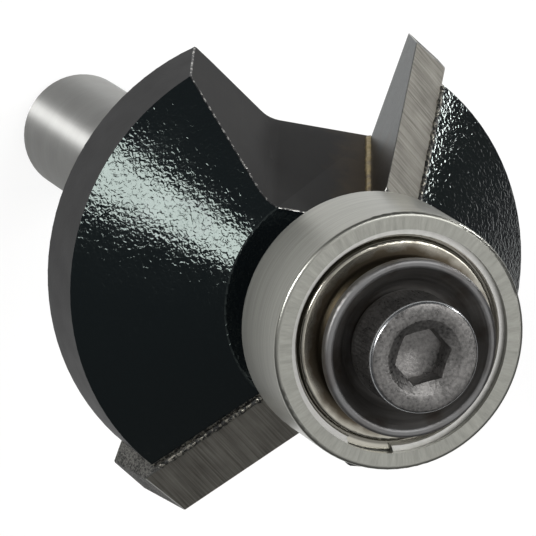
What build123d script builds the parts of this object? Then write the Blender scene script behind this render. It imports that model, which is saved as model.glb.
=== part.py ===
from build123d import *
from math import cos, pi, radians, sin, sqrt, tan
import os

# A bevel router bit with two brazed cutting tips and a guide bearing on its nose. Millimetres.
# The bit stands on the end of its shank. The origin is the centre of that end face, and +Z runs up the axis
# through the cutter head and the guide bearing to the socket screw. The outer cutting corner of one tip
# lies within half a degree of +X. Seen from the screw end the bit cuts counter-clockwise.

# Shank, the size that a quarter-inch collet grips
shank_diameter = 6.35
shank_length = 32.0
shank_end_chamfer = 0.5
shank_root_radius = 0.6

# Cutter head, a turned blank with a straight rim and a bevel that narrows towards the bearing. Its rim and
# its bevel stand back from the tips' cutting edges, measured square to the axis.
rim_setback = 1.1
bevel_setback = 1.5
bevel_angle = 45.0
head_face_diameter = 11.8
head_edge_radius = 0.15

# Neck that carries the bearing's inner ring clear of the tips' ends, and the spigot that fills its bore
neck_diameter = 6.2
bearing_standoff = 2.35
spigot_clearance = 0.01
spigot_recess = 0.3
spigot_chamfer = 0.2

# Flutes, one before each cutting tip. Each is milled straight along one slanted line, so its section is the
# same at every height and only slides sideways. The floor's distance from the axis is square to the floor.
tip_count = 2
flute_lean = 22.9
flute_lean_turn = 148.1
flute_floor_distance = 6.95
flute_floor_turn = 14.8
flute_floor_start = 3.63
flute_floor_width = 5.5
flute_opening_angle = 58.0
flute_corner_radius = 2.0
milling_overrun = 1.0

# Cutting tips, hard plates. Behind the bevel edge the plate is ground back to a flat relief. Its outer
# side, beside the head's rim, is left as pressed, and bulges a little beyond the cutting circle at its back.
cutting_diameter = 26.0
tip_back_bulge = 0.2
tip_back_inset = 0.6
straight_edge_height = 4.2
tip_end_diameter = 12.4
tip_thickness = 2.0
tip_face_angle = 7.4
side_relief_angle = 15.0
bevel_relief_angle = 31.0
tip_corner_radius = 0.15

# Braze that fills the seat behind and below each tip
braze_thickness = 0.12

# Guide bearing, a common inch size with seven balls and a shield held by a snap ring on each side
bearing_bore = 4.762
bearing_diameter = 12.7
bearing_width = 4.978
bearing_edge_radius = 0.2
inner_edge_radius = 0.12
inner_ring_diameter = 6.9
outer_ring_bore = 10.5
ball_count = 7
ball_diameter = 2.381
ball_circle_diameter = 8.73
race_radius = 1.25
ball_play = 0.02

# Ball cage, two pressed ribbons riveted together between the balls
cage_inner_diameter = 7.95
cage_outer_diameter = 9.55
cage_sheet = 0.22
pocket_play = 0.06
rivet_diameter = 0.4
rivet_head_diameter = 0.62
rivet_head_height = 0.14

# Bearing shields and the snap rings that hold them in the outer ring
shield_seat_diameter = 11.0
shield_seat_depth = 0.82
shield_sheet = 0.2
shield_flange_width = 0.42
shield_crown_depth = 0.22
shield_crown_diameter = 8.3
shield_lip_depth = 0.45
shield_bore = 7.25
shield_clearance = 0.02
shield_wall_radius = 0.2
shield_wall_inner_radius = 0.05
shield_dome_radius = 0.4
snap_groove_diameter = 11.36
snap_ring_sheet = 0.28
snap_ring_width = 0.5
snap_ring_edge_chamfer = 0.06
snap_ring_clearance = 0.03
snap_ring_gap = 2.0
snap_ring_gap_turn = 194.0
snap_ring_gap_slant = 32.0

# Dished washer that clamps the inner ring and covers the inside of the shield
washer_diameter = 8.75
washer_bore = 3.2
washer_seat_diameter = 6.3
washer_floor_diameter = 5.9
washer_floor_sheet = 0.4
washer_rim_sheet = 0.36
washer_rim_height = 1.55
washer_outer_rise = 0.95
washer_bend_radius = 0.36
washer_edge_radius = 0.17
washer_floor_radius = 0.8

# Socket screw that clamps the washer and the bearing
screw_diameter = 3.0
screw_length = 8.0
screw_head_diameter = 5.5
screw_head_height = 3.0
screw_head_chamfer = 0.14
screw_base_chamfer = 0.25
screw_tip_chamfer = 0.3
socket_width = 2.5
socket_depth = 1.5
socket_cone_depth = 0.35
socket_mouth_diameter = 3.7
socket_mouth_angle = 30.0
socket_turn = 9.0
thread_clearance = 0.02
tapped_hole_depth = 9.0
tapped_hole_cone = 0.9

# Heights up the axis, and the head's diameter
bevel_slope = tan(radians(bevel_angle))
head_diameter = cutting_diameter - 2 * rim_setback
head_back_height = shank_length
cutting_corner_height = head_back_height + straight_edge_height
tip_end_height = cutting_corner_height + (cutting_diameter - tip_end_diameter) / 2 / bevel_slope
rim_top_height = cutting_corner_height - (bevel_setback - rim_setback) / bevel_slope
head_face_height = rim_top_height + (head_diameter - head_face_diameter) / 2 / bevel_slope
bearing_base_height = tip_end_height + bearing_standoff
bearing_middle_height = bearing_base_height + bearing_width / 2
bearing_face_height = bearing_base_height + bearing_width
screw_seat_height = bearing_face_height + washer_floor_sheet

# Directions of the flute: the slanted milling line, the floor's own plane, and the line of the cutting face
flute_axis = Vector(
    tan(radians(flute_lean)) * cos(radians(flute_lean_turn)),
    tan(radians(flute_lean)) * sin(radians(flute_lean_turn)),
    1,
)
flute_plane = Plane(
    origin=(0, 0, head_back_height),
    x_dir=(cos(radians(flute_floor_turn)), sin(radians(flute_floor_turn)), 0),
    z_dir=(0, 0, 1),
)
face_line = Vector(cos(radians(tip_face_angle)), -sin(radians(tip_face_angle)))
open_line = Vector(cos(radians(flute_opening_angle)), sin(radians(flute_opening_angle)))
face_foot = Vector(flute_floor_distance, -flute_floor_start)
face_direction = flute_plane.from_local_coords(face_line) - flute_plane.origin
cutting_face_normal = face_direction.cross(flute_axis).normalized()
along_floor = flute_plane.y_dir
section_stretch = 1 / abs(cutting_face_normal.dot(along_floor))
clear_of_head = head_diameter


def turned(points, rounds=()):
    """A solid of revolution from (radius, height) points, with (point number, radius) rounds."""
    section = make_face(Polyline(*points, close=True))
    for number, radius in rounds:
        corner = section.vertices().sort_by_distance(Vector(*points[number]))[0]
        section = fillet(corner, radius)
    return revolve(Plane.XZ * section, Axis.Z)


def solid_of(shape):
    """The single solid inside a result."""
    return shape.solids()[0]


def milled(points, low, high, rounds=()):
    """A prism along the flute's slanted line. Its section is drawn at the back of the head, and it runs
    between two heights counted from there."""
    section = make_face(Polyline(*points, close=True))
    for number, radius in rounds:
        corner = section.vertices().sort_by_distance(points[number])[0]
        section = fillet(corner, radius)
    start = Location(flute_axis * low) * (flute_plane * section).face()
    return Solid.extrude(start, flute_axis * (high - low))


def around(shape, count=tip_count):
    """Copies of a shape spaced evenly round the axis."""
    return [shape.rotate(Axis.Z, 360 * number / count) for number in range(count)]


def head_blank():
    """The turned blank before milling: shank, head, neck and spigot with its tapped hole."""
    shank_radius = shank_diameter / 2
    spigot_radius = bearing_bore / 2 - spigot_clearance
    spigot_height = bearing_face_height - spigot_recess
    hole_radius = screw_diameter / 2 + thread_clearance
    hole_floor = spigot_height - tapped_hole_depth
    points = [
        (0, 0),
        (shank_radius - shank_end_chamfer, 0),
        (shank_radius, shank_end_chamfer),
        (shank_radius, head_back_height),
        (head_diameter / 2, head_back_height),
        (head_diameter / 2, rim_top_height),
        (head_face_diameter / 2, head_face_height),
        (neck_diameter / 2, head_face_height),
        (neck_diameter / 2, bearing_base_height),
        (spigot_radius, bearing_base_height),
        (spigot_radius, spigot_height - spigot_chamfer),
        (spigot_radius - spigot_chamfer, spigot_height),
        (hole_radius, spigot_height),
        (hole_radius, hole_floor),
        (0, hole_floor - tapped_hole_cone),
    ]
    rounds = [(3, shank_root_radius), (4, head_edge_radius), (6, head_edge_radius)]
    return turned(points, rounds)


def flute_cut():
    """What one flute takes out of the head."""
    heel = face_foot + Vector(0, flute_floor_width)
    points = [
        face_foot,
        heel,
        heel + open_line * clear_of_head,
        face_foot + face_line * clear_of_head,
    ]
    start = -shank_root_radius - milling_overrun
    end = head_face_height - head_back_height + milling_overrun
    return milled(points, start, end, [(1, flute_corner_radius)])


def plate_section(foot, thickness):
    """The slanted plate behind the cutting face, from a foot on that face outwards."""
    step = Vector(0, -thickness * section_stretch)
    return [foot, foot + step, foot + step + face_line * clear_of_head, foot + face_line * clear_of_head]


def seat_cut(start=-milling_overrun):
    """The slot for one tip and its braze, milled behind and below the flute from a given height."""
    foot = face_foot - face_line * braze_thickness
    section = plate_section(foot, tip_thickness + braze_thickness)
    return milled(section, start, head_face_height - head_back_height + milling_overrun)


def on_cutting_face(radius, height):
    """The point of the cutting face at a radius from the axis and a height above the back of the head."""
    start = flute_plane.from_local_coords(face_foot) + flute_axis * height
    line = flute_plane.from_local_coords(face_line) - flute_plane.origin
    forward = start.X * line.X + start.Y * line.Y
    reach = sqrt(forward**2 - start.X**2 - start.Y**2 + radius**2) - forward
    return start + line * reach


def cutting_tip():
    """One hard plate, cut back behind its outer side and behind its bevel edge."""
    end_height = tip_end_height - head_back_height
    back_corner = on_cutting_face(cutting_diameter / 2 + tip_back_bulge, tip_back_inset)
    outer_corner = on_cutting_face(cutting_diameter / 2, straight_edge_height)
    inner_corner = on_cutting_face(tip_end_diameter / 2, end_height)
    side_fall = falling_line(side_relief_angle)
    plate = milled(plate_section(face_foot, tip_thickness), tip_back_inset, end_height)
    for first, second, fall in (
        (back_corner, outer_corner, side_fall),
        (outer_corner, inner_corner, falling_line(bevel_relief_angle)),
    ):
        outward = (second - first).cross(fall)
        plate = split(plate, Plane(origin=first, z_dir=outward), keep=Keep.BOTTOM)
    rear_reach = tip_thickness / abs(side_fall.dot(cutting_face_normal))
    rear_corner = (back_corner + outer_corner) / 2 + side_fall * rear_reach
    return solid_of(fillet(plate.edges().sort_by_distance(rear_corner)[0], tip_corner_radius))


def falling_line(angle):
    """The level direction in which a tip's side falls away behind its cutting edge."""
    return Vector(-sin(radians(angle)), -cos(radians(angle)))


def bit_body():
    """The steel body: shank, head with its flutes and seats, neck and spigot."""
    body = head_blank()
    for cut in around(flute_cut()) + around(seat_cut()):
        body = body - cut
    return solid_of(body)


def braze_film():
    """The braze of one seat: the slot's space beside the tip, trimmed to the blank."""
    plate = milled(plate_section(face_foot, tip_thickness), -milling_overrun, clear_of_head)
    film = head_blank() & (seat_cut(tip_back_inset) - plate - flute_cut())
    return solid_of(film)


def race_groove(ring_radius):
    """The round groove that the balls roll in, given the radius of the groove's middle."""
    return Pos(0, 0, bearing_middle_height) * Torus(ring_radius, race_radius)


def inner_ring():
    """The bearing's inner ring, held on the spigot."""
    bore = bearing_bore / 2
    shoulder = inner_ring_diameter / 2
    points = [
        (bore, bearing_base_height),
        (shoulder, bearing_base_height),
        (shoulder, bearing_face_height),
        (bore, bearing_face_height),
    ]
    ring = turned(points, [(number, inner_edge_radius) for number in range(4)])
    groove = ball_circle_diameter / 2 - ball_diameter / 2 - ball_play + race_radius
    return solid_of(ring - race_groove(groove))


def outer_ring():
    """The bearing's outer ring, with a shield seat and a snap ring groove at each end."""
    land = outer_ring_bore / 2
    seat = shield_seat_diameter / 2
    groove = snap_groove_diameter / 2
    groove_floor_depth = shield_seat_depth - shield_sheet
    groove_top_depth = groove_floor_depth - snap_ring_sheet - snap_ring_clearance
    inside = [
        (land, shield_seat_depth),
        (seat, shield_seat_depth),
        (seat, groove_floor_depth),
        (groove, groove_floor_depth),
        (groove, groove_top_depth),
        (seat, groove_top_depth),
        (seat, 0),
    ]
    outside = bearing_diameter / 2
    base = bearing_base_height
    points = [(outside, base), (outside, bearing_face_height)]
    points += [(radius, bearing_face_height - depth) for radius, depth in reversed(inside)]
    points += [(radius, base + depth) for radius, depth in inside]
    ring = turned(points, [(0, bearing_edge_radius), (1, bearing_edge_radius)])
    groove_middle = ball_circle_diameter / 2 + ball_diameter / 2 + ball_play - race_radius
    return solid_of(ring - race_groove(groove_middle))


def ball():
    """One ball, on the +X side of the bearing."""
    return Pos(ball_circle_diameter / 2, 0, bearing_middle_height) * Sphere(ball_diameter / 2)


def cage_ribbon(side):
    """One half of the cage: a flat ribbon with a round pocket over each ball. side is 1 above, -1 below."""
    pocket = ball_diameter / 2 + pocket_play
    place = Pos(ball_circle_diameter / 2, 0, 0)
    band = Cylinder(cage_outer_diameter / 2, 2 * ball_diameter)
    band = band - Cylinder(cage_inner_diameter / 2, 2 * ball_diameter)
    ribbon = Cylinder(cage_outer_diameter / 2, 2 * cage_sheet)
    for shell in around(place * Sphere(pocket + cage_sheet), ball_count):
        ribbon = ribbon + shell
    ribbon = ribbon & band
    for hollow in around(place * Sphere(pocket), ball_count):
        ribbon = ribbon - hollow
    for hole in around(rivet_shank(), ball_count):
        ribbon = ribbon - hole
    half = split(ribbon, Plane.XY, keep=Keep.TOP if side > 0 else Keep.BOTTOM)
    return solid_of(Pos(0, 0, bearing_middle_height) * half)


def rivet_shank():
    """The shank of one rivet, midway between two balls, about the cage's middle plane."""
    turn = pi / ball_count
    place = Pos(ball_circle_diameter / 2 * cos(turn), ball_circle_diameter / 2 * sin(turn), 0)
    return place * Cylinder(rivet_diameter / 2, 2 * cage_sheet)


def cage_rivets():
    """The rivets that hold the two ribbons together, as separate solids."""
    shank = rivet_shank()
    rivet = shank
    for side in (1, -1):
        middle = side * (cage_sheet + rivet_head_height / 2)
        head = Cylinder(rivet_head_diameter / 2, rivet_head_height)
        rivet = rivet + Pos(shank.center().X, shank.center().Y, middle) * head
    rivet = Pos(0, 0, bearing_middle_height) * rivet
    return Compound(children=[solid_of(copy) for copy in around(rivet, ball_count)])


def shield_profile():
    """The pressed shield's section as (radius, depth below the bearing's face)."""
    flange_outer = shield_seat_diameter / 2 - shield_clearance
    wall_outer = flange_outer - shield_flange_width
    crown_outer = wall_outer - shield_crown_depth / 2
    crown_inner = shield_crown_diameter / 2
    bore = shield_bore / 2
    sheet = shield_sheet
    return [
        (flange_outer, shield_seat_depth),
        (flange_outer, shield_seat_depth - sheet),
        (wall_outer, shield_seat_depth - sheet),
        (crown_outer, shield_crown_depth),
        (crown_inner, shield_crown_depth),
        (bore, shield_lip_depth),
        (bore, shield_lip_depth + sheet),
        (crown_inner, shield_crown_depth + sheet),
        (crown_outer - sheet, shield_crown_depth + sheet),
        (wall_outer - sheet, shield_seat_depth),
    ]


def shield(side):
    """The shield at the bearing's face (side 1) or at its base (side -1)."""
    plate = [(radius, bearing_width / 2 - depth) for radius, depth in shield_profile()]
    wall_bends = [(3, shield_wall_radius), (8, shield_wall_inner_radius)]
    ring = turned(plate, wall_bends + [(4, shield_dome_radius), (7, shield_dome_radius)])
    if side < 0:
        ring = mirror(ring, Plane.XY)
    return solid_of(Pos(0, 0, bearing_middle_height) * ring)


def snap_ring(side):
    """The open ring that springs into the outer ring's groove over the shield's flange."""
    outer = snap_groove_diameter / 2 - snap_ring_clearance
    inner = outer - snap_ring_width
    floor = bearing_width / 2 - shield_seat_depth + shield_sheet
    top = floor + snap_ring_sheet
    points = [
        (inner, floor),
        (outer, floor),
        (outer, top - snap_ring_edge_chamfer),
        (outer - snap_ring_edge_chamfer, top),
        (inner + snap_ring_edge_chamfer, top),
        (inner, top - snap_ring_edge_chamfer),
    ]
    ring = turned(points)
    slot = Box(4 * snap_ring_width, snap_ring_gap, bearing_width).rotate(Axis.Z, snap_ring_gap_slant)
    ring = ring - Rot(0, 0, snap_ring_gap_turn) * Pos((inner + outer) / 2, 0, bearing_width / 2) * slot
    if side < 0:
        ring = mirror(ring, Plane.XY)
    return solid_of(Pos(0, 0, bearing_middle_height) * ring)


def dished_washer():
    """The dished washer: a flat seat on the inner ring and a wall that flares up round the screw's head."""
    rim_radius = washer_diameter / 2
    rim_top = bearing_face_height + washer_rim_height
    floor_top = bearing_face_height + washer_floor_sheet
    points = [
        (washer_bore / 2, bearing_face_height),
        (washer_seat_diameter / 2, bearing_face_height),
        (rim_radius, bearing_face_height + washer_outer_rise),
        (rim_radius, rim_top),
        (rim_radius - washer_rim_sheet, rim_top),
        (washer_floor_diameter / 2, floor_top),
        (washer_bore / 2, floor_top),
    ]
    edges = [(3, washer_edge_radius), (4, washer_edge_radius)]
    rounds = [(2, washer_bend_radius), (5, washer_floor_radius)] + edges
    return solid_of(turned(points, rounds))


def socket_cut():
    """The hexagon socket with its drilled floor and its countersunk mouth."""
    head_top = screw_seat_height + screw_head_height
    hexagon = RegularPolygon(socket_width / 2, 6, major_radius=False, rotation=socket_turn)
    cut = extrude(Pos(0, 0, head_top - socket_depth) * hexagon, socket_depth)
    floor = Cone(0, socket_width / 2, socket_cone_depth, align=(Align.CENTER, Align.CENTER, Align.MAX))
    mouth_depth = (socket_mouth_diameter - socket_width) / 2 * tan(radians(socket_mouth_angle))
    mouth = Cone(
        socket_width / 2,
        socket_mouth_diameter / 2,
        mouth_depth,
        align=(Align.CENTER, Align.CENTER, Align.MAX),
    )
    return cut + Pos(0, 0, head_top - socket_depth) * floor + Pos(0, 0, head_top) * mouth


def cap_screw():
    """The socket screw, with its thread as a plain shank of the thread's outer size."""
    head_radius = screw_head_diameter / 2
    shank_radius = screw_diameter / 2
    head_top = screw_seat_height + screw_head_height
    tip = screw_seat_height - screw_length
    points = [
        (0, tip),
        (shank_radius - screw_tip_chamfer, tip),
        (shank_radius, tip + screw_tip_chamfer),
        (shank_radius, screw_seat_height),
        (head_radius - screw_base_chamfer, screw_seat_height),
        (head_radius, screw_seat_height + screw_base_chamfer),
        (head_radius, head_top - screw_head_chamfer),
        (head_radius - screw_head_chamfer, head_top),
        (0, head_top),
    ]
    return solid_of(turned(points) - socket_cut())


def named_pieces():
    """Every piece of the bit, by name."""
    pieces = {"bit_body": bit_body()}
    for letter, tip, film in zip("ab", around(cutting_tip()), around(braze_film())):
        pieces["cutting_tip_" + letter] = tip
        pieces["braze_seam_" + letter] = film
    pieces["bearing_inner_ring"] = inner_ring()
    pieces["bearing_outer_ring"] = outer_ring()
    for number, copy in enumerate(around(ball(), ball_count), 1):
        pieces["bearing_ball_" + str(number)] = solid_of(copy)
    for place, side in (("front", 1), ("back", -1)):
        pieces["cage_" + place] = cage_ribbon(side)
        pieces["shield_" + place] = shield(side)
        pieces["snap_ring_" + place] = snap_ring(side)
    pieces["cage_rivets"] = cage_rivets()
    pieces["dished_washer"] = dished_washer()
    pieces["cap_screw"] = cap_screw()
    return pieces


os.makedirs("parts", exist_ok=True)
for name, piece in named_pieces().items():
    export_step(piece, "parts/" + name + ".step")
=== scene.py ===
# %% [markdown]
# # A bevel router bit, dressed
#
# The part is a small cutting tool: a ground shank, a black head with two slanted flutes and two brazed carbide
# tips, and a ball bearing held on the nose by a dished washer and a socket screw. Its shapes come packed from
# the part's own source, and this script gives them their finishes, the camera, the floor and the light.
#
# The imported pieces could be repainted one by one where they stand, and most of them are. The body and the two
# tips are rebuilt from merged copies instead, because they need softened edges and a finish for each group of
# faces. The screw is built anew for its ribs, and beads of braze are added.

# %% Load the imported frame
import math
import random

import bmesh
import bpy
from mathutils import Matrix, Vector


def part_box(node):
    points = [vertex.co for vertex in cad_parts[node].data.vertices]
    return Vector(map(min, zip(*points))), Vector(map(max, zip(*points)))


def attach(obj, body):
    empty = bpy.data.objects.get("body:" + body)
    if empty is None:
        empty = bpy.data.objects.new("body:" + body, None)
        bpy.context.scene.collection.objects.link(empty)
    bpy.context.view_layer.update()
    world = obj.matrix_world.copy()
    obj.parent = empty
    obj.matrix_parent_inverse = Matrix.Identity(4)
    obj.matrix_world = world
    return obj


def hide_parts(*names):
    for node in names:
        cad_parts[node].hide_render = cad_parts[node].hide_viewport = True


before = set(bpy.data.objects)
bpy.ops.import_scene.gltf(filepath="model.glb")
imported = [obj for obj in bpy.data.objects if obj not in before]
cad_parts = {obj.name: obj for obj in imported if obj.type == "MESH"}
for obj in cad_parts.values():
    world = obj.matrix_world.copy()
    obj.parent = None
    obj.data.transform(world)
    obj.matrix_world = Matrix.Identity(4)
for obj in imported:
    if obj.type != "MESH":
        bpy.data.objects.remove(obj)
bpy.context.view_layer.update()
mm = 0.001

# %% [markdown]
# ## Camera
#
# The bit is seen almost from the bearing end, from far away with a long lens, so near and far parts keep nearly
# the same scale. A camera can be aimed by eye, or worked out from outlines whose real size is known. This one
# was worked out from the round edges of the shank, the head and the bearing. Its place and its two picture
# directions are all that is needed: the lens follows from the distance.

# %% Place the camera
camera_place = Vector((17.678, 139.576, 356.546)) * mm
picture_right = Vector((0.44793137, -0.83017896, 0.33190419))
picture_up = Vector((0.89258204, 0.39383778, -0.21952016))
picture_back = picture_right.cross(picture_up)
lens_length = 473.3

camera_data = bpy.data.cameras.new("long_lens")
camera_data.lens = lens_length
camera_data.sensor_width = 36
camera_data.clip_start = 0.01
camera_data.clip_end = 10
camera = bpy.data.objects.new("long_lens", camera_data)
turn = Matrix((picture_right, picture_up, picture_back)).transposed()
camera.matrix_world = Matrix.Translation(camera_place) @ turn.to_4x4()
bpy.context.scene.collection.objects.link(camera)
bpy.context.scene.camera = camera
bpy.context.scene.view_settings.view_transform = "Standard"
print("camera elevation", round(math.degrees(math.asin(picture_back.z)), 1))

# %% [markdown]
# ## Colours and nodes
#
# Colours are easiest to read as the hex values that a painter or a web page uses, but a renderer works with
# linear light, so one function turns them over. Nodes could be wired one call at a time. Here one function adds
# any node with its settings, and another sets its sockets: a value that is another node's output becomes a
# link, and any other value is set on the socket itself.

# %% Helpers for colours and nodes
def colour(code):
    """Linear colour with full alpha from an sRGB hex code such as #a0b0c0."""
    parts = [int(code[start:start + 2], 16) / 255 for start in (1, 3, 5)]
    linear = [part / 12.92 if part <= 0.04045 else ((part + 0.055) / 1.055) ** 2.4 for part in parts]
    return (*linear, 1)


def set_inputs(tree, node, values):
    """Set sockets by name or number. A value that is another node's output becomes a link."""
    for socket, value in values.items():
        if isinstance(value, bpy.types.NodeSocket):
            tree.links.new(value, node.inputs[socket])
        else:
            node.inputs[socket].default_value = value


def add_node(tree, kind, values=None, **settings):
    """One node with its settings, and with its sockets set from values."""
    node = tree.nodes.new(kind)
    for name, value in settings.items():
        setattr(node, name, value)
    set_inputs(tree, node, values or {})
    return node


def start_material(name):
    """A new material: its node tree, the place on the piece in millimetres, and its surface shader."""
    material = bpy.data.materials.new(name)
    material.use_nodes = True
    tree = material.node_tree
    tree.nodes.clear()
    place = add_node(tree, "ShaderNodeTexCoord").outputs["Object"]
    place = add_node(tree, "ShaderNodeVectorMath", {0: place, "Scale": 1 / mm}, operation="SCALE").outputs[0]
    shader = add_node(tree, "ShaderNodeBsdfPrincipled")
    add_node(tree, "ShaderNodeOutputMaterial", {"Surface": shader.outputs[0]})
    return material, tree, place, shader


print("black enamel in linear light", [round(part, 4) for part in colour("#0d1113")[:3]])

# %% [markdown]
# ## Floor and light
#
# A product picture of a small tool is taken on a white sheet under large soft lamps. The floor is a plain pale
# round sheet. To the camera and in reflections it glows a little, so it reads as white paper, while its diffuse
# part keeps the tool's shadow. Stronger lamps would whiten the floor too, but would wash out the tool. The
# sheet fills the picture and ends soon beyond it, so that the dark faces mirror the room more than the sheet.
#
# The black head shows only what it mirrors. A panel to one side gives the broad highlight of the left wing, and
# a low strip gives the thin one of the right wing. A side box lights the bearing's shield, and a wide soft box
# overhead brightens every face that looks up. The world is darker at the horizon than above, as in a room with
# dark walls.

# %% Make the floor
sheet_radius, sheet_drop = 0.1, 0.02 * mm
glow_share, glow_strength = 0.72, 1.1

floor_mesh = bmesh.new()
bmesh.ops.create_circle(floor_mesh, cap_ends=True, radius=sheet_radius, segments=96)
bmesh.ops.translate(floor_mesh, verts=floor_mesh.verts, vec=Vector((0, 0, -sheet_drop)))
floor_data = bpy.data.meshes.new("paper_floor")
floor_mesh.to_mesh(floor_data)
floor_mesh.free()
floor = bpy.data.objects.new("paper_floor", floor_data)
bpy.context.scene.collection.objects.link(floor)

paper, tree, place, shader = start_material("matt_white_paper")
fibres = add_node(tree, "ShaderNodeTexNoise", {"Vector": place, "Scale": 0.05, "Detail": 2.0})
tint = add_node(tree, "ShaderNodeMix", {0: fibres.outputs[0], 6: colour("#e9e9e7"), 7: colour("#eeeeed")},
                data_type="RGBA")
set_inputs(tree, shader, {"Roughness": 0.9, "Base Color": tint.outputs[2]})
rays = add_node(tree, "ShaderNodeLightPath")
seen = add_node(tree, "ShaderNodeMath", {0: rays.outputs["Is Camera Ray"], 1: rays.outputs["Is Glossy Ray"]},
                operation="MAXIMUM")
seen = add_node(tree, "ShaderNodeMath", {0: seen.outputs[0], 1: rays.outputs["Is Transmission Ray"]},
                operation="MAXIMUM")
share = add_node(tree, "ShaderNodeMath", {0: seen.outputs[0], 1: glow_share}, operation="MULTIPLY")
glow = add_node(tree, "ShaderNodeEmission", {"Color": (1, 1, 1, 1), "Strength": glow_strength})
sheet = add_node(tree, "ShaderNodeMixShader", {0: share.outputs[0], 1: shader.outputs[0], 2: glow.outputs[0]})
add_node(tree, "ShaderNodeOutputMaterial", {"Surface": sheet.outputs[0]}, is_active_output=True)
floor_data.materials.append(paper)
print("floor at", floor_data.vertices[0].co.z / mm, "mm")

# %% Hang the lamps
head_middle = Vector((0, 0, 42)) * mm


def hang_panel(name, direction, distance, width, height, power):
    """A rectangular lamp at a distance from the head, facing it, with its height as upright as it can be."""
    lamp_data = bpy.data.lights.new(name, "AREA")
    lamp_data.shape = "RECTANGLE"
    lamp_data.size = width
    lamp_data.size_y = height
    lamp_data.energy = power
    lamp = bpy.data.objects.new(name, lamp_data)
    back = Vector(direction).normalized()
    lamp.rotation_mode = "QUATERNION"
    lamp.rotation_quaternion = back.to_track_quat("Z", "Y")
    lamp.location = head_middle + back * distance
    bpy.context.scene.collection.objects.link(lamp)
    print(name, "at", [round(part, 2) for part in lamp.location])


# Each lamp has a direction from the head, then its distance, width and height in metres and its power in watts.
hang_panel("key_panel", (0.0, 0.92, 0.38), 0.45, 0.14, 0.2, 1.7)
hang_panel("low_strip", (0.85, -0.53, 0.0), 0.35, 0.04, 0.06, 0.36)
hang_panel("side_box", (0.55, -0.2, 0.81), 0.45, 0.4, 0.2, 1.0)
hang_panel("overhead_box", (-0.05, -0.39, 0.92), 0.6, 0.4, 0.4, 0.22)

world = bpy.data.worlds.new("dim_room")
bpy.context.scene.world = world
world.use_nodes = True
tree = world.node_tree
tree.nodes.clear()
looking = add_node(tree, "ShaderNodeTexCoord").outputs["Generated"]
height = add_node(tree, "ShaderNodeSeparateXYZ", {0: looking}).outputs["Z"]
level = add_node(tree, "ShaderNodeMapRange",
                 {"Value": height, "From Min": 0.4, "From Max": 0.95, "To Min": 0.11, "To Max": 0.6},
                 interpolation_type="SMOOTHSTEP")
air = add_node(tree, "ShaderNodeBackground", {"Color": (1, 1, 1, 1), "Strength": level.outputs[0]})
add_node(tree, "ShaderNodeOutputWorld", {"Surface": air.outputs[0]})

# %% [markdown]
# ## Patterns that follow turned parts
#
# Nearly everything here was turned or ground while it spun, so its marks run round the axis or straight out
# from it. A pattern made on flat coordinates would cross such a part like wallpaper. An angle would follow it,
# but has a seam where it starts again. So the direction from the axis is used, which has no seam, stretched by
# one number round the axis and by others outwards and along the axis.

# %% Coordinates round the axis
def round_axis(tree, place, around, outward, along):
    """Coordinates for a pattern on a turned part, and the distance from the axis in millimetres."""
    parts = add_node(tree, "ShaderNodeSeparateXYZ", {0: place})
    flat = add_node(tree, "ShaderNodeCombineXYZ", {0: parts.outputs[0], 1: parts.outputs[1]}).outputs[0]
    unit = add_node(tree, "ShaderNodeVectorMath", {0: flat}, operation="NORMALIZE").outputs[0]
    reach = add_node(tree, "ShaderNodeVectorMath", {0: flat}, operation="LENGTH").outputs["Value"]
    ringwise = add_node(tree, "ShaderNodeVectorMath", {0: unit, "Scale": around}, operation="SCALE").outputs[0]
    climb = add_node(tree, "ShaderNodeMath", {0: parts.outputs[2], 1: along}, operation="MULTIPLY").outputs[0]
    rise = add_node(tree, "ShaderNodeMath", {0: reach, 1: outward, 2: climb}, operation="MULTIPLY_ADD").outputs[0]
    lift = add_node(tree, "ShaderNodeCombineXYZ", {2: rise}).outputs[0]
    coordinates = add_node(tree, "ShaderNodeVectorMath", {0: ringwise, 1: lift}, operation="ADD").outputs[0]
    return coordinates, reach


print("made", round_axis.__name__, "for turned parts")

# %% [markdown]
# ## Black enamel
#
# The head's turned faces are sprayed with black enamel, which dries with a fine orange peel: shallow bumps a
# few tenths of a millimetre apart. In the highlight each bump is a spark of its own, and elsewhere the paint is
# almost black. The peel could be modelled, but it is far finer than the mesh, so it is a bump pattern. A second,
# slower noise makes the gloss uneven, and a faint cool tint in the reflections sets the paint apart from the
# neutral steel. The outer rim has a thin coat that the turning marks dull to a streaky black-grey. The milled
# faces got less paint too, and are matt, with cutter marks that follow the flute.

# %% Enamel on the turned faces
enamel, tree, place, shader = start_material("sprayed_black_enamel")
peel_spacing = 0.22
peel = add_node(tree, "ShaderNodeTexNoise",
                {"Vector": place, "Scale": 1 / peel_spacing, "Detail": 1.0, "Roughness": 0.4, "Distortion": 0.7})
bump = add_node(tree, "ShaderNodeBump", {"Height": peel.outputs[0], "Strength": 1.0, "Distance": 0.027 * mm})
cloud = add_node(tree, "ShaderNodeTexNoise", {"Vector": place, "Scale": 0.5, "Detail": 3.0})
gloss = add_node(tree, "ShaderNodeMapRange",
                 {"Value": cloud.outputs[0], "From Min": 0.3, "From Max": 0.7, "To Min": 0.08, "To Max": 0.16})
set_inputs(tree, shader, {"Normal": bump.outputs[0], "Roughness": gloss.outputs[0],
                          "Base Color": colour("#0d1113"), "IOR": 1.42, "Specular Tint": colour("#eefff8")})

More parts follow.
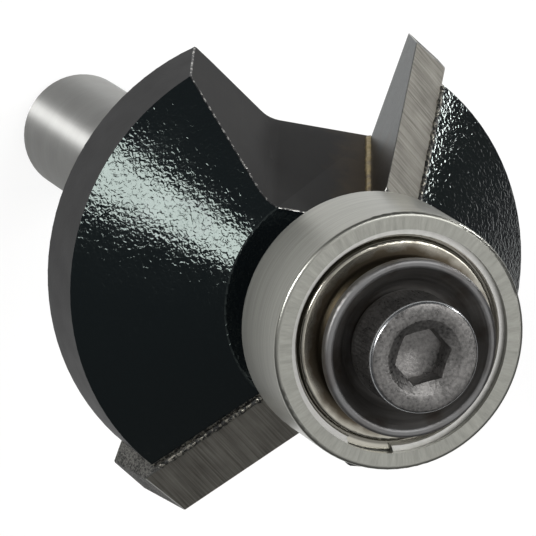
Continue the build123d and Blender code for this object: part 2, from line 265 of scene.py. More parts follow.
rim_enamel, tree, place, shader = start_material("thin_black_enamel_on_turned_steel")
marks, reach = round_axis(tree, place, 5.0, 0.4, 0.4)
streaks = add_node(tree, "ShaderNodeTexNoise", {"Vector": marks, "Scale": 1.6, "Detail": 4.0})
shade = add_node(tree, "ShaderNodeMix", {0: streaks.outputs[0], 6: colour("#0b0b0c"), 7: colour("#151516")},
                 data_type="RGBA")
matt = add_node(tree, "ShaderNodeMapRange", {"Value": streaks.outputs[0], "To Min": 0.5, "To Max": 0.66})
grain = add_node(tree, "ShaderNodeTexNoise", {"Vector": place, "Scale": 6.0, "Detail": 3.0})
bump = add_node(tree, "ShaderNodeBump", {"Height": grain.outputs[0], "Strength": 0.6, "Distance": 0.01 * mm})
set_inputs(tree, shader, {"Base Color": shade.outputs[2], "Roughness": matt.outputs[0],
                          "Normal": bump.outputs[0], "IOR": 1.34})
print("orange peel every", peel_spacing, "mm")

# %% Matt enamel on the milled faces, with stains beside the braze
# The flute's own lines: where its floor meets the cutting face, and the way the cutter went.
flute_foot = Vector((7.6467, -1.7342, 32))
flute_way = Vector((-0.3586, 0.2232, 1)).normalized()

milled_enamel, tree, place, shader = start_material("matt_black_enamel_on_milled_steel")
parts = add_node(tree, "ShaderNodeSeparateXYZ", {0: place})
side = add_node(tree, "ShaderNodeMath", {0: parts.outputs[0]}, operation="SIGN").outputs[0]
other_x = add_node(tree, "ShaderNodeMath", {0: parts.outputs[0], 1: side}, operation="MULTIPLY").outputs[0]
other_y = add_node(tree, "ShaderNodeMath", {0: parts.outputs[1], 1: side}, operation="MULTIPLY").outputs[0]
folded = add_node(tree, "ShaderNodeCombineXYZ", {0: other_x, 1: other_y, 2: parts.outputs[2]}).outputs[0]
from_foot = add_node(tree, "ShaderNodeVectorMath", {0: folded, 1: flute_foot}, operation="SUBTRACT").outputs[0]
across = add_node(tree, "ShaderNodeVectorMath", {0: from_foot, 1: flute_way}, operation="CROSS_PRODUCT")
away = add_node(tree, "ShaderNodeVectorMath", {0: across.outputs[0]}, operation="LENGTH").outputs["Value"]
smoke = add_node(tree, "ShaderNodeTexNoise", {"Vector": place, "Scale": 0.9, "Detail": 4.0})
wobble = add_node(tree, "ShaderNodeMath", {0: smoke.outputs[0], 1: 3.0, 2: -1.5}, operation="MULTIPLY_ADD")
edge = add_node(tree, "ShaderNodeMath", {0: away, 1: wobble.outputs[0]}, operation="ADD").outputs[0]
stain = add_node(tree, "ShaderNodeMapRange",
                 {"Value": edge, "From Min": 0.2, "From Max": 2.4, "To Min": 0.85, "To Max": 0.0},
                 interpolation_type="SMOOTHSTEP")
marks = add_node(tree, "ShaderNodeTexNoise", {"Vector": across.outputs[0], "Scale": 5.0, "Detail": 3.0})
shade = add_node(tree, "ShaderNodeMix", {0: smoke.outputs[0], 6: colour("#101010"), 7: colour("#1c1b1a")},
                 data_type="RGBA")
shade = add_node(tree, "ShaderNodeMix", {0: stain.outputs[0], 6: shade.outputs[2], 7: colour("#3a3022")},
                 data_type="RGBA")
bump = add_node(tree, "ShaderNodeBump", {"Height": marks.outputs[0], "Strength": 0.5, "Distance": 0.012 * mm})
set_inputs(tree, shader, {"Base Color": shade.outputs[2], "Normal": bump.outputs[0], "Roughness": 0.7,
                          "IOR": 1.36})

# %% [markdown]
# Where two painted faces meet, the paint draws back from the edge and wears through. That leaves a thin line of
# bare steel, broken where a bead of paint still covers it. The line gets faces of its own, from a bevel,
# and a noise that switches between steel and paint along it.

# %% Bare edges
beads_per_mm = 3.4
bare_edge, tree, place, shader = start_material("steel_edge_with_beads_of_enamel")
beads = add_node(tree, "ShaderNodeTexNoise", {"Vector": place, "Scale": beads_per_mm, "Detail": 3.0})
bare = add_node(tree, "ShaderNodeMapRange",
                {"Value": beads.outputs[0], "From Min": 0.5, "From Max": 0.56, "To Min": 0.0, "To Max": 1.0})
shade = add_node(tree, "ShaderNodeMix", {0: bare.outputs[0], 6: colour("#161616"), 7: colour("#b4b3af")},
                 data_type="RGBA")
bump = add_node(tree, "ShaderNodeBump", {"Height": beads.outputs[0], "Strength": 0.8, "Distance": 0.05 * mm})
set_inputs(tree, shader, {"Base Color": shade.outputs[2], "Metallic": bare.outputs[0], "Normal": bump.outputs[0],
                          "Roughness": 0.38})
print("edge beads about", round(1 / beads_per_mm, 2), "mm long")

# %% [markdown]
# ## Ground steel
#
# The shank is tool steel, ground between wheels while it turned. Grinding leaves fine rings round it, too fine
# to see singly, that stretch each highlight along the shank. The shader is told so by its tangent, which runs
# along the axis, the way the highlights are stretched. Some rings are drawn too, at twelve to the millimetre,
# coarser than real ones, so that a trace of them shows.

# %% Shank steel
rings_per_mm = 12.0
shank_steel, tree, place, shader = start_material("ground_tool_steel")
rings, reach = round_axis(tree, place, 0.6, rings_per_mm, rings_per_mm)
lines = add_node(tree, "ShaderNodeTexNoise", {"Vector": rings, "Scale": 1.0, "Detail": 4.0})
cloud = add_node(tree, "ShaderNodeTexNoise", {"Vector": place, "Scale": 0.6, "Detail": 3.0})
rough = add_node(tree, "ShaderNodeMapRange", {"Value": lines.outputs[0], "To Min": 0.4, "To Max": 0.56})
shade = add_node(tree, "ShaderNodeMix", {0: cloud.outputs[0], 6: colour("#8f8f8d"), 7: colour("#9f9f9d")},
                 data_type="RGBA")
bump = add_node(tree, "ShaderNodeBump", {"Height": lines.outputs[0], "Strength": 0.4, "Distance": 0.004 * mm})
axis = add_node(tree, "ShaderNodeVectorTransform", {0: (0, 0, 1)}, vector_type="VECTOR",
                convert_from="OBJECT", convert_to="WORLD")
set_inputs(tree, shader, {"Base Color": shade.outputs[2], "Roughness": rough.outputs[0],
                          "Normal": bump.outputs[0], "Tangent": axis.outputs[0], "Anisotropic": 1.0,
                          "Metallic": 1.0})
print("shank rings drawn every", round(1 / rings_per_mm, 3), "mm")

# %% [markdown]
# ## The head and shank
#
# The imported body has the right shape, but each of its surfaces has a finish of its own, and its milled edges
# are knife sharp. It could be painted by one material that knows every height and radius. Sorting the faces of
# a merged copy is clearer: each face is asked where it is and which way it looks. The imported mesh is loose
# triangles, so the copy's doubles are merged first, and triangles that lie flat together become one face.

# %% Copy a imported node, sort its faces, place a piece
# The head's heights in millimetres. On its slope, height and distance from the axis add up to the middle number.
head_back, head_slope_sum, head_face = 32.0, 47.7, 41.8


def merged_copy(node, flat_angle=0.2):
    """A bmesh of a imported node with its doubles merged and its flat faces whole."""
    copy = bmesh.new()
    copy.from_mesh(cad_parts[node].data)
    bmesh.ops.remove_doubles(copy, verts=copy.verts, dist=0.0005 * mm)
    bmesh.ops.dissolve_limit(copy, angle_limit=math.radians(flat_angle), use_dissolve_boundaries=False,
                             verts=copy.verts, edges=copy.edges, delimit={"NORMAL"})
    return copy


def shade_smooth(copy, sharp_angle=14):
    """Every face smooth, and every edge that turns by more than an angle sharp."""
    for face in copy.faces:
        face.smooth = True
    for edge in copy.edges:
        edge.smooth = len(edge.link_faces) == 2 and edge.calc_face_angle() < math.radians(sharp_angle)


def place_piece(name, copy, body, finishes, replaced=()):
    """An object from a bmesh, riding on a body."""
    data = bpy.data.meshes.new(name)
    copy.normal_update()
    copy.to_mesh(data)
    copy.free()
    for finish in finishes:
        data.materials.append(finish)
    piece = bpy.data.objects.new(name, data)
    bpy.context.scene.collection.objects.link(piece)
    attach(piece, body)
    if replaced:
        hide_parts(*replaced)
    print(name, "faces", len(data.polygons))
    return piece


# %% Dress the head and shank
SHANK, TURNED, RIM, MILLED, EDGE = range(5)


def head_finish(face):
    """The number of the finish that a face of the body has."""
    middle = face.calc_center_median() / mm
    reach = math.hypot(middle.x, middle.y)
    if middle.z < head_back + 0.01 and reach < 3.9 or middle.z > head_face + 0.2:
        return SHANK
    if abs(reach + middle.z - head_slope_sum) < 0.12 and 0.5 < face.normal.z < 0.9:
        return TURNED
    if abs(middle.z - head_face) < 0.16 and face.normal.z > 0.5:
        return TURNED
    if abs(middle.z - head_back) < 0.2 and face.normal.z < -0.5 or reach > 11.7 and abs(face.normal.z) < 0.7:
        return RIM
    return MILLED


body_copy = merged_copy("bit_body")
for face in body_copy.faces:
    face.material_index = head_finish(face)
painted_edges = [
    edge for edge in body_copy.edges
    if len(edge.link_faces) == 2 and edge.calc_face_angle() > math.radians(25)
    and {face.material_index for face in edge.link_faces} in ({TURNED, MILLED}, {RIM, MILLED})
]
# Nothing is clamped, because the short edges of the turned rims would shrink the bevel to nothing.
softened = bmesh.ops.bevel(body_copy, geom=painted_edges, affect="EDGES", offset=0.06 * mm, segments=2,
                           profile=0.5, material=-1, clamp_overlap=False)
for face in softened["faces"]:
    face.material_index = EDGE
shade_smooth(body_copy)
place_piece("head_and_shank", body_copy, "cutter",
            [shank_steel, enamel, rim_enamel, milled_enamel, bare_edge], ["bit_body"])
print("painted edges softened", len(painted_edges))

# %% [markdown]
# ## Carbide tips
#
# Each tip is a plate of sintered tungsten carbide, brazed in and then ground with a diamond wheel. The flat
# relief behind the bevel edge is the lightest face of the bit, with slanting scratches from the wheel. The
# cutting face is a cooler grey, and browner towards the axis, where the flux burnt on. The outer side keeps its
# pressed skin, dark and grainy. The second tip is the first one turned half round, so its patterns are turned
# too. The scratches are drawn nine to the millimetre, coarser than a fine wheel leaves them.

# %% Carbide finishes
half_turn = math.pi
scratches_per_mm = 9.0


def carbide_finishes(letter, turned_by):
    """The ground relief, the cutting face and the pressed skin of one tip, whose patterns turn with it."""
    finishes = []
    for name, light, dark, smooth, coarse, line_way in (
        ("diamond_ground_carbide_relief_", "#b6b3aa", "#85827a", 0.3, 0.46, (0.339, 0.92, 0.195)),
        ("diamond_ground_carbide_face_", "#3b4141", "#2b3030", 0.34, 0.5, (1.0, 0.1, 0.25)),
        ("pressed_carbide_skin_", "#6b6a66", "#161615", 0.5, 0.8, (0.0, 0.0, 1.0)),
    ):
        material, tree, place, shader = start_material(name + letter)
        own = add_node(tree, "ShaderNodeVectorRotate", {"Vector": place, "Angle": turned_by},
                       rotation_type="Z_AXIS").outputs[0]
        line = Vector(line_way).normalized()
        lengthwise = add_node(tree, "ShaderNodeVectorMath", {0: own, 1: line}, operation="DOT_PRODUCT")
        along = add_node(tree, "ShaderNodeVectorMath", {0: line, "Scale": lengthwise.outputs["Value"]},
                         operation="SCALE").outputs[0]
        crosswise = add_node(tree, "ShaderNodeVectorMath", {0: own, 1: along}, operation="SUBTRACT").outputs[0]
        dense = add_node(tree, "ShaderNodeVectorMath", {0: crosswise, "Scale": scratches_per_mm},
                         operation="SCALE").outputs[0]
        sparse = add_node(tree, "ShaderNodeVectorMath", {0: along, "Scale": 0.25}, operation="SCALE").outputs[0]
        drawn = add_node(tree, "ShaderNodeVectorMath", {0: dense, 1: sparse}, operation="ADD").outputs[0]
        skin = name.startswith("pressed")
        marks = add_node(tree, "ShaderNodeTexNoise",
                         {"Vector": own if skin else drawn, "Scale": 11.0 if skin else 1.0, "Detail": 4.0,
                          "Roughness": 0.6})
        cloud = add_node(tree, "ShaderNodeTexNoise", {"Vector": own, "Scale": 0.8, "Detail": 3.0})
        mixed = add_node(tree, "ShaderNodeMath", {0: cloud.outputs[0], 1: 0.4, 2: marks.outputs[0]},
                         operation="MULTIPLY_ADD").outputs[0]
        low, high = (0.62, 0.8) if skin else (0.5, 0.9)
        share = add_node(tree, "ShaderNodeMapRange",
                         {"Value": mixed, "From Min": low, "From Max": high}).outputs[0]
        shade = add_node(tree, "ShaderNodeMix", {0: share, 6: colour(dark), 7: colour(light)}, data_type="RGBA")
        if "face" in name:
            across = add_node(tree, "ShaderNodeSeparateXYZ", {0: own}).outputs[0]
            burnt = add_node(tree, "ShaderNodeMath", {0: cloud.outputs[0], 1: 3.0, 2: across},
                             operation="MULTIPLY_ADD").outputs[0]
            burnt = add_node(tree, "ShaderNodeMapRange",
                             {"Value": burnt, "From Min": 8.6, "From Max": 9.9, "To Min": 0.75, "To Max": 0.0},
                             interpolation_type="SMOOTHSTEP").outputs[0]
            shade = add_node(tree, "ShaderNodeMix", {0: burnt, 6: shade.outputs[2], 7: colour("#382e22")},
                             data_type="RGBA")
        rough = add_node(tree, "ShaderNodeMapRange",
                         {"Value": marks.outputs[0], "To Min": smooth, "To Max": coarse}).outputs[0]
        depth = 0.16 if skin else 0.02
        bump = add_node(tree, "ShaderNodeBump",
                        {"Height": marks.outputs[0], "Strength": 0.8, "Distance": depth * mm})
        set_inputs(tree, shader, {"Base Color": shade.outputs[2], "Roughness": rough, "Normal": bump.outputs[0],
                                  "Metallic": 0.55 if skin else 1.0})
        finishes.append(material)
    return finishes


ground_edge, tree, place, shader = start_material("honed_carbide_edge")
nicks = add_node(tree, "ShaderNodeTexNoise", {"Vector": place, "Scale": 9.0, "Detail": 2.0})
shade = add_node(tree, "ShaderNodeMix", {0: nicks.outputs[0], 6: colour("#6c6d6a"), 7: colour("#a9a8a4")},
                 data_type="RGBA")
set_inputs(tree, shader, {"Base Color": shade.outputs[2], "Metallic": 1.0, "Roughness": 0.3})
print("wheel scratches drawn every", round(1 / scratches_per_mm, 2), "mm")

# %% [markdown]
# The plates' faces are told apart by the way they look, in the first tip's own directions: the cutting face
# looks forwards along +Y, the relief looks up and outwards, and the pressed skin is on all the others. The
# edges between them get a bevel of a few hundredths of a millimetre, which catches the light as the bright
# line that a honed edge shows.

# %% Dress the tips
RELIEF, CUTTING_FACE, SKIN, HONED = range(4)


def tip_finish(face, flip):
    """The number of the finish that a tip's face has. flip is 1 for the first tip and -1 for the second."""
    outward, forward, upward = face.normal.x * flip, face.normal.y * flip, face.normal.z
    if forward > 0.7:
        return CUTTING_FACE
    if upward > 0.35 and outward > 0.2:
        return RELIEF
    return SKIN


rear_edges = {}
for letter, flip in (("a", 1), ("b", -1)):
    tip_copy = merged_copy("cutting_tip_" + letter)
    for face in tip_copy.faces:
        face.material_index = tip_finish(face, flip)
    relief = max((face for face in tip_copy.faces if face.material_index == RELIEF), key=lambda f: f.calc_area())
    # The braze shows behind the relief: along its longest edge with a face that looks backwards.
    rear = max((edge for edge in relief.edges if any(other.normal.y * flip < -0.5 for other in edge.link_faces)),
               key=lambda edge: edge.calc_length())
    rear_edges[letter] = [vertex.co.copy() for vertex in rear.verts]
    print("relief of", round(relief.calc_area() / mm**2, 1), "square mm")
    sharp = [edge for edge in tip_copy.edges
             if edge.calc_face_angle() > math.radians(25)
             and {face.material_index for face in edge.link_faces} & {RELIEF, CUTTING_FACE}]
    honed = bmesh.ops.bevel(tip_copy, geom=sharp, affect="EDGES", offset=0.045 * mm, segments=1, profile=0.5,
                            material=-1, clamp_overlap=True)
    for face in honed["faces"]:
        face.material_index = HONED
    shade_smooth(tip_copy)
    place_piece("carbide_tip_" + letter, tip_copy, "cutter",
                carbide_finishes(letter, 0 if flip > 0 else half_turn) + [ground_edge], ["cutting_tip_" + letter])

# %% [markdown]
# ## Braze
#
# The tips are held by silver solder, pale gold and lumpy where it ran out of the joint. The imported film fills
# the seat behind and below each plate. What the eye sees is the bead along the inner corner of the flute and
# the ragged line behind the relief. That line and the film beside it caught stray enamel, so they read as
# bright crumbs on black. A bead could be a bent tube, but would look too even. Here each one starts as a ring of
# a few points, extruded step by step along its line, and every new ring is swollen or shrunk a little by seeded
# chance, as molten metal would be.

# %% Silver solder
solder, tree, place, shader = start_material("silver_solder_as_it_flowed")
lumps = add_node(tree, "ShaderNodeTexNoise", {"Vector": place, "Scale": 4.0, "Detail": 3.0})
flux = add_node(tree, "ShaderNodeTexNoise", {"Vector": place, "Scale": 1.3, "Detail": 3.0})
burnt = add_node(tree, "ShaderNodeMapRange",
                 {"Value": flux.outputs[0], "From Min": 0.5, "From Max": 0.65, "To Min": 0.0, "To Max": 0.8})
shade = add_node(tree, "ShaderNodeMix", {0: lumps.outputs[0], 6: colour("#62543a"), 7: colour("#98895f")},
                 data_type="RGBA")
shade = add_node(tree, "ShaderNodeMix", {0: burnt.outputs[0], 6: shade.outputs[2], 7: colour("#4a3b28")},
                 data_type="RGBA")
bump = add_node(tree, "ShaderNodeBump", {"Height": lumps.outputs[0], "Strength": 0.7, "Distance": 0.05 * mm})
set_inputs(tree, shader, {"Base Color": shade.outputs[2], "Normal": bump.outputs[0], "Metallic": 0.9,
                          "Roughness": 0.42})

speckled, tree, place, shader = start_material("solder_speckled_by_overspray")
specks = add_node(tree, "ShaderNodeTexNoise", {"Vector": place, "Scale": 6.0, "Detail": 3.0})
bare = add_node(tree, "ShaderNodeMapRange", {"Value": specks.outputs[0], "From Min": 0.5, "From Max": 0.58})
shade = add_node(tree, "ShaderNodeMix", {0: bare.outputs[0], 6: colour("#121211"), 7: colour("#a5a297")},
                 data_type="RGBA")
bump = add_node(tree, "ShaderNodeBump", {"Height": specks.outputs[0], "Strength": 1.0, "Distance": 0.06 * mm})
set_inputs(tree, shader, {"Base Color": shade.outputs[2], "Metallic": bare.outputs[0], "Normal": bump.outputs[0],
                          "Roughness": 0.35})


def next_ring(shape, front):
    """Extrude a ring of edges where it stands, and give the new ring's points and edges."""
    grown = bmesh.ops.extrude_edge_only(shape, edges=front)["geom"]
    verts = [part for part in grown if isinstance(part, bmesh.types.BMVert)]
    edges = [part for part in grown if isinstance(part, bmesh.types.BMEdge)
             and all(vertex in verts for vertex in part.verts)]
    return verts, edges


def bead_along(start, end, radius, step, unrest, seed):
    """A lumpy bead between two points, narrow and closed at both ends."""
    chance = random.Random(seed)
    way = (end - start).normalized()
    length = (end - start).length
    end_share = 0.3
    aim = way.to_track_quat("Z", "X").to_matrix().to_4x4()
    bead = bmesh.new()
    bmesh.ops.create_circle(bead, cap_ends=True, radius=radius * end_share, segments=8,
                            matrix=Matrix.Translation(start) @ aim)
    front = list(bead.edges)
    steps = max(4, int(length / step))
    for number in range(1, steps + 1):
        verts, front = next_ring(bead, front)
        bmesh.ops.translate(bead, verts=verts, vec=way * length / steps)
        middle = sum((vertex.co for vertex in verts), Vector()) / len(verts)
        wanted = radius * (end_share if number == steps else chance.uniform(1 - unrest, 1 + unrest))
        size = wanted / (verts[0].co - middle).length
        shake = Vector([chance.uniform(-0.5, 0.5) * unrest * radius for axis in range(3)])
        bmesh.ops.scale(bead, verts=verts, vec=(size, size, size), space=Matrix.Translation(-middle))
        centre = start + way * length * number / steps
        bmesh.ops.translate(bead, verts=verts, vec=centre + shake - middle)
    bmesh.ops.contextual_create(bead, geom=front)
    bmesh.ops.recalc_face_normals(bead, faces=bead.faces)
    shade_smooth(bead, 180)
    return bead


corner_start = flute_foot + flute_way / flute_way.z * 0.12
corner_end = flute_foot + flute_way / flute_way.z * 9.7
for letter, flip in (("a", 1), ("b", -1)):
    half = Matrix.Diagonal((flip, flip, 1))
    corner = bead_along(half @ corner_start * mm, half @ corner_end * mm, 0.23 * mm, 0.3 * mm, 0.1, 11)
    place_piece("braze_bead_" + letter, corner, "cutter", [solder])
    first, last = rear_edges[letter]
    if first.z > last.z:
        first, last = last, first
    behind = half @ Vector((0, -0.07, 0)) * mm
    ragged = bead_along(first.lerp(last, 0.1) + behind, first.lerp(last, 0.98) + behind,
                        0.12 * mm, 0.17 * mm, 0.45, 23)
    place_piece("braze_line_" + letter, ragged, "cutter", [speckled])

# %% [markdown]
# ## Bearing
#
# The rings are hardened chromium steel. Their faces are ground flat, which leaves them light grey with faint
# marks straight out from the middle, and the rim and the corners are polished. One material serves both: the
# distance from the axis tells the rim from the face. The shields are pressed sheet with a yellow passivated
# film, pale straw towards their outside and browner and rougher towards the axis, under the washer's rim, with
# a narrow ring of painted shade in the groove beside the snap ring. The snap rings are spring wire, bright but
# not a mirror. The balls are polished to a mirror, and the cage is pressed strip with a soft shine.

# %% Bearing steel
ring_steel, tree, place, shader = start_material("ground_and_polished_bearing_steel")
spread, reach = round_axis(tree, place, 26.0, 0.7, 0.7)
wound, reach = round_axis(tree, place, 1.2, 0.7, 9.0)
rim_share = add_node(tree, "ShaderNodeMapRange", {"Value": reach, "From Min": 6.12, "From Max": 6.32},
                     interpolation_type="SMOOTHSTEP").outputs[0]
marks = add_node(tree, "ShaderNodeMix", {0: rim_share, 4: spread, 5: wound}, data_type="VECTOR").outputs[1]
spokes = add_node(tree, "ShaderNodeTexNoise", {"Vector": marks, "Scale": 1.0, "Detail": 5.0, "Roughness": 0.7})
face_rough = add_node(tree, "ShaderNodeMapRange",
                      {"Value": spokes.outputs[0], "To Min": 0.2, "To Max": 0.5}).outputs[0]
rough = add_node(tree, "ShaderNodeMix", {0: rim_share, 2: face_rough, 3: 0.32}, data_type="FLOAT").outputs[0]
shade = add_node(tree, "ShaderNodeMix", {0: spokes.outputs[0], 6: colour("#6e6e69"), 7: colour("#b4b4ac")},
                 data_type="RGBA")
bump = add_node(tree, "ShaderNodeBump", {"Height": spokes.outputs[0], "Strength": 0.25, "Distance": 0.006 * mm})
set_inputs(tree, shader, {"Base Color": shade.outputs[2], "Roughness": rough, "Normal": bump.outputs[0],
                          "Metallic": 1.0})

# %% Shield sheet, spring wire, balls and cage
shield_sheet, tree, place, shader = start_material("pressed_sheet_yellow_passivated")
marks, reach = round_axis(tree, place, 1.4, 5.0, 5.0)
rings = add_node(tree, "ShaderNodeTexNoise", {"Vector": marks, "Scale": 1.0, "Detail": 3.0})
brown_wobble = add_node(tree, "ShaderNodeTexNoise", {"Vector": place, "Scale": 0.9, "Detail": 4.0})
edge = add_node(tree, "ShaderNodeMath", {0: brown_wobble.outputs[0], 1: 1.0, 2: reach}, operation="MULTIPLY_ADD").outputs[0]
# The sheet turns brown and rougher towards the axis, under the washer's rim.
browner_inward = add_node(tree, "ShaderNodeMapRange",
                 {"Value": edge, "From Min": 4.9, "From Max": 5.35, "To Min": 0.9, "To Max": 0.05}).outputs[0]
shade = add_node(tree, "ShaderNodeMix", {0: rings.outputs[0], 6: colour("#98948a"), 7: colour("#c2bfb4")},
                 data_type="RGBA")
shade = add_node(tree, "ShaderNodeMix", {0: browner_inward, 6: shade.outputs[2], 7: colour("#4f4434")}, data_type="RGBA")
# Painted shade: a narrow dark ring on the shield in the groove beside the snap ring, where the recess lies in
# shade.
wire_bore = min(math.hypot(v.co.x, v.co.y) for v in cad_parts["snap_ring_front"].data.vertices) / mm
from_corner = add_node(tree, "ShaderNodeMath", {0: reach, 1: wire_bore - 0.04}, operation="SUBTRACT").outputs[0]
from_corner = add_node(tree, "ShaderNodeMath", {0: from_corner}, operation="ABSOLUTE").outputs[0]
painted_groove_shade = add_node(tree, "ShaderNodeMapRange",
                 {"Value": from_corner, "From Min": 0.04, "From Max": 0.12,
                  "To Min": 0.6, "To Max": 0.0}).outputs[0]
shade = add_node(tree, "ShaderNodeMix", {0: painted_groove_shade, 6: shade.outputs[2], 7: colour("#1d1a16")}, data_type="RGBA")
rough = add_node(tree, "ShaderNodeMapRange", {"Value": browner_inward, "To Min": 0.17, "To Max": 0.4}).outputs[0]
set_inputs(tree, shader, {"Base Color": shade.outputs[2], "Roughness": rough, "Metallic": 1.0})

plain_metals = {}
for name, light, dark, scale, smooth, coarse in (
    ("bright_spring_wire", "#d3d2ce", "#aeada9", 3.0, 0.3, 0.42),
    ("polished_ball_steel", "#dededd", "#cfcfcd", 1.5, 0.05, 0.1),
    ("pressed_cage_steel", "#b9b7b1", "#8f8d88", 2.5, 0.28, 0.42),
):
    plain_metals[name], tree, place, shader = start_material(name)
    cloud = add_node(tree, "ShaderNodeTexNoise", {"Vector": place, "Scale": scale, "Detail": 3.0})
    shade = add_node(tree, "ShaderNodeMix", {0: cloud.outputs[0], 6: colour(dark), 7: colour(light)},
                     data_type="RGBA")
    rough = add_node(tree, "ShaderNodeMapRange",
                     {"Value": cloud.outputs[0], "To Min": smooth, "To Max": coarse}).outputs[0]
    set_inputs(tree, shader, {"Base Color": shade.outputs[2], "Roughness": rough, "Metallic": 1.0})
print("bearing finishes", ["ring_steel", "shield_sheet"] + list(plain_metals))

# %% [markdown]
# ## Dark oxide steel
#
# The washer and the screw are blackened in hot oxide. It is a thin dark skin, not a paint, so the steel's own
# shine comes through, and it wears to grey on edges and rusts a little where it stays damp. The wear is
# placed by what rubs: the top of the washer's rim and the rim of the screw's head.

# %% Washer and screw finishes
oxide, tree, place, shader = start_material("hot_black_oxide_on_pressed_steel")
marks, reach = round_axis(tree, place, 1.2, 4.0, 4.0)
rings = add_node(tree, "ShaderNodeTexNoise", {"Vector": marks, "Scale": 1.0, "Detail": 4.0})
patches = add_node(tree, "ShaderNodeTexNoise", {"Vector": place, "Scale": 0.55, "Detail": 5.0})
rust = add_node(tree, "ShaderNodeMapRange",
                {"Value": patches.outputs[0], "From Min": 0.5, "From Max": 0.68,
                 "To Min": 0.0, "To Max": 0.6}).outputs[0]
shade = add_node(tree, "ShaderNodeMix", {0: rings.outputs[0], 6: colour("#6a6866"), 7: colour("#94928f")},
                 data_type="RGBA")
shade = add_node(tree, "ShaderNodeMix", {0: rust, 6: shade.outputs[2], 7: colour("#54473a")}, data_type="RGBA")
height = add_node(tree, "ShaderNodeSeparateXYZ", {0: place}).outputs[2]
washer_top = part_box("dished_washer")[1].z / mm
worn = add_node(tree, "ShaderNodeMapRange",
                {"Value": height, "From Min": washer_top - 0.14, "From Max": washer_top - 0.02,
                 "To Min": 0.0, "To Max": 0.5}).outputs[0]
shade = add_node(tree, "ShaderNodeMix", {0: worn, 6: shade.outputs[2], 7: colour("#6b6d70")}, data_type="RGBA")
rough = add_node(tree, "ShaderNodeMapRange", {"Value": rings.outputs[0], "To Min": 0.4, "To Max": 0.54}).outputs[0]
bump = add_node(tree, "ShaderNodeBump", {"Height": rings.outputs[0], "Strength": 0.3, "Distance": 0.01 * mm})
set_inputs(tree, shader, {"Base Color": shade.outputs[2], "Roughness": rough, "Normal": bump.outputs[0],
                          "Metallic": 1.0})

screw_oxide, tree, place, shader = start_material("hot_black_oxide_on_headed_steel")
spots = add_node(tree, "ShaderNodeTexNoise", {"Vector": place, "Scale": 6.0, "Detail": 3.0, "Roughness": 0.6})
cloud = add_node(tree, "ShaderNodeTexNoise", {"Vector": place, "Scale": 0.7, "Detail": 3.0})
mottle = add_node(tree, "ShaderNodeMath", {0: cloud.outputs[0], 1: 0.5, 2: spots.outputs[0]},
                  operation="MULTIPLY_ADD").outputs[0]
mottle = add_node(tree, "ShaderNodeMapRange", {"Value": mottle, "From Min": 0.5, "From Max": 1.0}).outputs[0]
shade = add_node(tree, "ShaderNodeMix", {0: mottle, 6: colour("#4b4a49"), 7: colour("#817f7d")},
                 data_type="RGBA")
rough = add_node(tree, "ShaderNodeMapRange", {"Value": mottle, "To Min": 0.24, "To Max": 0.44}).outputs[0]
bump = add_node(tree, "ShaderNodeBump", {"Height": spots.outputs[0], "Strength": 0.8, "Distance": 0.02 * mm})
set_inputs(tree, shader, {"Base Color": shade.outputs[2], "Roughness": rough, "Normal": bump.outputs[0],
                          "Metallic": 0.9})

worn_oxide, tree, place, shader = start_material("black_oxide_rubbed_through")
spots = add_node(tree, "ShaderNodeTexNoise", {"Vector": place, "Scale": 4.0, "Detail": 3.0})
shade = add_node(tree, "ShaderNodeMix", {0: spots.outputs[0], 6: colour("#7d7e80"), 7: colour("#c2c4c6")},
                 data_type="RGBA")
set_inputs(tree, shader, {"Base Color": shade.outputs[2], "Metallic": 1.0, "Roughness": 0.26})
print("washer rim worn above", round(washer_top - 0.14, 2), "mm")

# %% [markdown]
# ## Socket screw
#
# A socket screw's head is rolled with fine straight ribs for the fingers, has a bevelled upper edge, and a
# hexagon pressed into a drilled and countersunk hole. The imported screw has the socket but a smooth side. Here
# one ring of points is extruded from the screw's tip up over its side and down into the socket. Each
# rib takes four points of the ring, two on its crest and two in its valley, and the ring has a number of
# points that six divides, so that the hexagon's corners fall on points too.

# %% Build the screw
rib_count = 84
ring_count = 4 * rib_count
washer_sheet = 0.4
seat_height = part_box("dished_washer")[0].z / mm + washer_sheet
screw_low, screw_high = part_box("cap_screw")
head_top = screw_high.z / mm
head_radius = screw_high.x / mm
thread_radius, thread_tip = 1.5, screw_low.z / mm
socket_half_width, socket_floor, mouth_radius = 1.25, head_top - 1.5, 1.85
mouth_slope = math.tan(math.radians(30))
socket_turn = math.radians(9)
rib_depth = 0.045
drill_reach, drill_depth = 0.15, 0.308


def hexagon_reach(number):
    """How far the hexagon's side is from the axis at one point of the ring."""
    angle = 2 * math.pi * number / ring_count % (math.pi / 3) - math.pi / 6
    return socket_half_width / math.cos(angle)


def ring_at(reach, height, valley=0.0):
    """A row of the screw as (reach, height) for every point of the ring, with valleys between the ribs."""
    return [(reach - (valley if number % 4 > 1 else 0), height) for number in range(ring_count)]


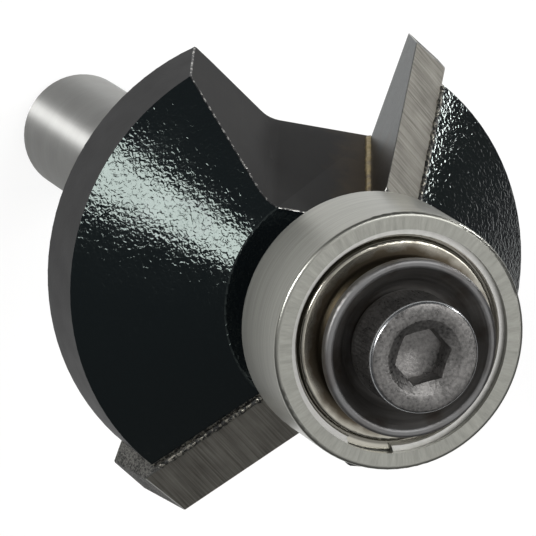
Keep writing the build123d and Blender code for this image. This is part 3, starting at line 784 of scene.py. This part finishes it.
# From the tip up: the thread, the face under the head, the ribbed side, the rounded rim, the flat top, the
# countersink, the hexagon's walls and the drilled floor.
rows = [ring_at(thread_radius - 0.3, thread_tip), ring_at(thread_radius, thread_tip + 0.3),
        ring_at(thread_radius, seat_height), ring_at(head_radius - 0.25, seat_height),
        ring_at(head_radius - 0.03, seat_height + 0.22), ring_at(head_radius, seat_height + 0.3),
        ring_at(head_radius, seat_height + 0.5), ring_at(head_radius, seat_height + 0.62, rib_depth),
        ring_at(head_radius, head_top - 0.46, rib_depth), ring_at(head_radius, head_top - 0.34),
        ring_at(head_radius - 0.01, head_top - 0.2), ring_at(head_radius - 0.05, head_top - 0.09),
        ring_at(head_radius - 0.1, head_top - 0.03), ring_at(head_radius - 0.17, head_top),
        ring_at(mouth_radius + 0.03, head_top), ring_at(mouth_radius - 0.02, head_top - 0.02)]
rows.append([(hexagon_reach(number) + 0.02,
              head_top - (mouth_radius - hexagon_reach(number) - 0.02) * mouth_slope)
             for number in range(ring_count)])
rows.append([(hexagon_reach(number), head_top - (mouth_radius - hexagon_reach(number)) * mouth_slope - 0.03)
             for number in range(ring_count)])
rows.append([(hexagon_reach(number), socket_floor) for number in range(ring_count)])
rows.append(ring_at(socket_half_width - 0.02, socket_floor))
rows.append(ring_at(drill_reach, socket_floor - drill_depth))

screw = bmesh.new()
bmesh.ops.create_circle(screw, cap_ends=True, radius=1.0, segments=ring_count)
ring, front = list(screw.verts), list(screw.edges)
for row_number, row in enumerate(rows):
    if row_number:
        ring, front = next_ring(screw, front)
    ring.sort(key=lambda vertex: math.atan2(vertex.co.y, vertex.co.x) % (2 * math.pi))
    for vertex, (reach, height) in zip(ring, row):
        flat = Vector((vertex.co.x, vertex.co.y, 0)).normalized()
        vertex.co = (flat * reach + Vector((0, 0, height))) * mm
bmesh.ops.contextual_create(screw, geom=front)
bmesh.ops.rotate(screw, verts=screw.verts, cent=(0, 0, 0), matrix=Matrix.Rotation(socket_turn, 3, "Z"))
bmesh.ops.recalc_face_normals(screw, faces=screw.faces)
for face in screw.faces:
    middle = face.calc_center_median() / mm
    reach = math.hypot(middle.x, middle.y)
    face.material_index = 1 if middle.z > head_top - 0.15 and reach > head_radius - 0.12 else 0
shade_smooth(screw, 28)
place_piece("socket_screw", screw, "cutter", [screw_oxide, worn_oxide], ["cap_screw"])

# %% [markdown]
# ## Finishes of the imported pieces
#
# The rings, shields, wires, balls, cage, washer and films of braze have the right shape and smooth faces already,
# so they stay as they were packed and only their material changes.

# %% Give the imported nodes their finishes
node_finishes = {"bearing_inner_ring": ring_steel, "bearing_outer_ring": ring_steel, "dished_washer": oxide,
                 "braze_seam_a": speckled, "braze_seam_b": speckled}
for place_name in ("front", "back"):
    node_finishes["shield_" + place_name] = shield_sheet
    node_finishes["snap_ring_" + place_name] = plain_metals["bright_spring_wire"]
    node_finishes["cage_" + place_name] = plain_metals["pressed_cage_steel"]
node_finishes["cage_rivets"] = plain_metals["pressed_cage_steel"]
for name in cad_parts:
    if name.startswith("bearing_ball_"):
        node_finishes[name] = plain_metals["polished_ball_steel"]
for name, finish in node_finishes.items():
    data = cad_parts[name].data
    data.materials.clear()
    data.materials.append(finish)
print("packed nodes with a new finish", len(node_finishes))
